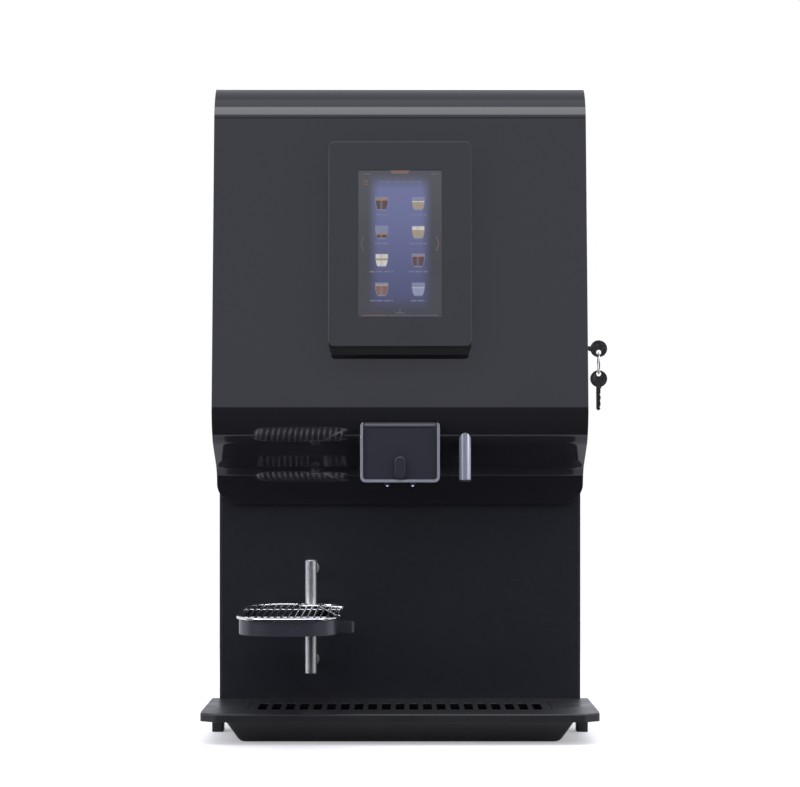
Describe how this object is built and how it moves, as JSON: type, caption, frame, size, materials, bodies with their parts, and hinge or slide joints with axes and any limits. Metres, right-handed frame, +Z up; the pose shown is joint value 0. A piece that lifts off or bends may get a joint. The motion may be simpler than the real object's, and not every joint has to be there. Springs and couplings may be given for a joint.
{
  "type": "hot drinks vending machine",
  "caption": "Table-top hot drinks machine with a hinged sloping front, powder hoppers and mixers inside, a swinging cup platform on a rod and a drip tray.",
  "frame": {"origin": "on the counter, on the cabinet's centre plane, in the plane of the cabinet's front flanges", "axes": "+Z up, -Y towards the person using it, +X to their right"},
  "size_m": [0.493, 0.6365, 0.797],
  "materials": {
    "black_sheet": "black powder coat",
    "steel_sheet": "brushed",
    "gloss_black": "gloss black",
    "matte_black": "fine matte black",
    "chrome": "polished",
    "milky": "milky, slightly see-through",
    "rubber": "matte",
    "hose": "clear hose, cloudy",
    "motor": "satin",
    "white_plastic": "satin white",
    "rocker_green": "lit green",
    "screen_glass": "glossy display"
  },
  "bodies": {
    "cabinet": {"side_panel_left": "black_sheet", "side_panel_right": "black_sheet", "base_plate": "steel_sheet", "back_panel": "steel_sheet", "front_panel": "black_sheet", "inner_wall": "steel_sheet", "hopper_shelf": "steel_sheet", "mixing_plate": "steel_sheet", "lower_rail": "steel_sheet", "cup_rod": "chrome", "foot_front_left": "rubber", "foot_front_right": "rubber", "foot_rear_left": "rubber", "foot_rear_right": "rubber", "hopper_left": "milky", "hopper_right": "milky", "hopper_lid_left": "milky", "hopper_lid_right": "milky", "mixer_left": "matte_black", "mixer_right": "matte_black", "whipper_motor_left": "matte_black", "whipper_motor_right": "matte_black", "auger_drive": "motor", "manifold": "matte_black", "hose_left": "hose", "hose_right": "hose", "boiler": "steel_sheet", "power_inlet": "matte_black", "water_inlet": "chrome", "hinge_plate_upper": "matte_black", "hinge_plate_lower": "matte_black"},
    "door": {"door_cover": "gloss_black", "door_cap_left": "matte_black", "door_cap_right": "matte_black", "touch_housing": "gloss_black", "screen": "screen_glass", "dispensing_head": "gloss_black", "head_trim": "chrome", "hot_water_spout": "chrome", "lock_barrel": "chrome", "door_hinge_upper": "matte_black", "door_hinge_lower": "matte_black", "door_hose": "hose"},
    "lock": {"lock_cam": "chrome", "key": "chrome"},
    "key_ring": {"key_ring": "chrome"},
    "spare_key": {"spare_key": "chrome"},
    "top_cover": {"top_cover": "black_sheet"},
    "drip_tray": {"drip_tray": "matte_black"},
    "drip_grille": {"drip_grille": "black_sheet"},
    "platform_clamp": {"platform_clamp": "matte_black"},
    "cup_platform": {"cup_platform": "matte_black"},
    "cup_grid": {"cup_grid": "chrome"},
    "elbow_left": {"elbow_left": "milky"},
    "elbow_right": {"elbow_right": "milky"},
    "auger_left": {"auger_left": "steel_sheet"},
    "auger_right": {"auger_right": "steel_sheet"},
    "whipper_left": {"whipper_left": "white_plastic"},
    "whipper_right": {"whipper_right": "white_plastic"},
    "power_rocker": {"power_rocker": "rocker_green"}
  },
  "joints": [
    {"name": "door_hinge", "type": "hinge", "parent": "cabinet", "child": "door", "pos_m": [-0.2262, -0.003, 0.5], "axis": [0, 0, -1], "range_deg": [0, 95], "deforming": ["door_hose"]},
    {"name": "key_turn", "type": "hinge", "parent": "door", "child": "lock", "pos_m": [0.22, -0.0266, 0.473], "axis": [-1, 0, 0], "range_deg": [0, 90]},
    {"name": "key_ring_swing", "type": "hinge", "parent": "lock", "child": "key_ring", "pos_m": [0.24575, -0.0266, 0.4685], "axis": [1, 0, 0], "range_deg": [-40, 40]},
    {"name": "spare_key_swing", "type": "hinge", "parent": "key_ring", "child": "spare_key", "pos_m": [0.24575, -0.0266, 0.4419], "axis": [1, 0, 0], "range_deg": [-40, 40]},
    {"name": "top_cover_hinge", "type": "hinge", "parent": "cabinet", "child": "top_cover", "pos_m": [0, 0.3455, 0.7805], "axis": [-1, 0, 0], "range_deg": [0, 95]},
    {"name": "drip_tray_slide", "type": "slide", "parent": "cabinet", "child": "drip_tray", "axis": [0, -1, 0], "range_m": [0, 0.15]},
    {"name": "drip_grille_lift", "type": "slide", "parent": "drip_tray", "child": "drip_grille", "axis": [0, 0, 1], "range_m": [0, 0.03]},
    {"name": "cup_platform_lift", "type": "slide", "parent": "cabinet", "child": "platform_clamp", "axis": [0, 0, 1], "range_m": [-0.03, 0.033]},
    {"name": "cup_platform_swing", "type": "hinge", "parent": "platform_clamp", "child": "cup_platform", "pos_m": [-0.109, -0.058, 0.14], "axis": [0, 0, 1], "range_deg": [0, 90]},
    {"name": "cup_grid_lift", "type": "slide", "parent": "cup_platform", "child": "cup_grid", "axis": [0, 0, 1], "range_m": [0, 0.03]},
    {"name": "power_rocker_tip", "type": "hinge", "parent": "cabinet", "child": "power_rocker", "pos_m": [0.1775, 0.0477, 0.4411], "axis": [1, 0, 0], "range_deg": [0, 6]},
    {"name": "outlet_elbow_left", "type": "hinge", "parent": "cabinet", "child": "elbow_left", "pos_m": [-0.1413, -0.02, 0.536], "axis": [0, -1, 0], "range_deg": [0, 90]},
    {"name": "outlet_elbow_right", "type": "hinge", "parent": "cabinet", "child": "elbow_right", "pos_m": [0.0479, -0.02, 0.536], "axis": [0, -1, 0], "range_deg": [0, 90]},
    {"name": "powder_auger_left", "type": "hinge", "parent": "cabinet", "child": "auger_left", "pos_m": [-0.1413, 0.1, 0.536], "axis": [0, 1, 0], "continuous": true},
    {"name": "powder_auger_right", "type": "hinge", "parent": "cabinet", "child": "auger_right", "pos_m": [0.0479, 0.1, 0.536], "axis": [0, 1, 0], "continuous": true},
    {"name": "whipper_spin_left", "type": "hinge", "parent": "cabinet", "child": "whipper_left", "pos_m": [-0.0946, 0, 0.38], "axis": [0, 1, 0], "continuous": true},
    {"name": "whipper_spin_right", "type": "hinge", "parent": "cabinet", "child": "whipper_right", "pos_m": [0.0946, 0, 0.38], "axis": [0, 1, 0], "continuous": true}
  ]
}
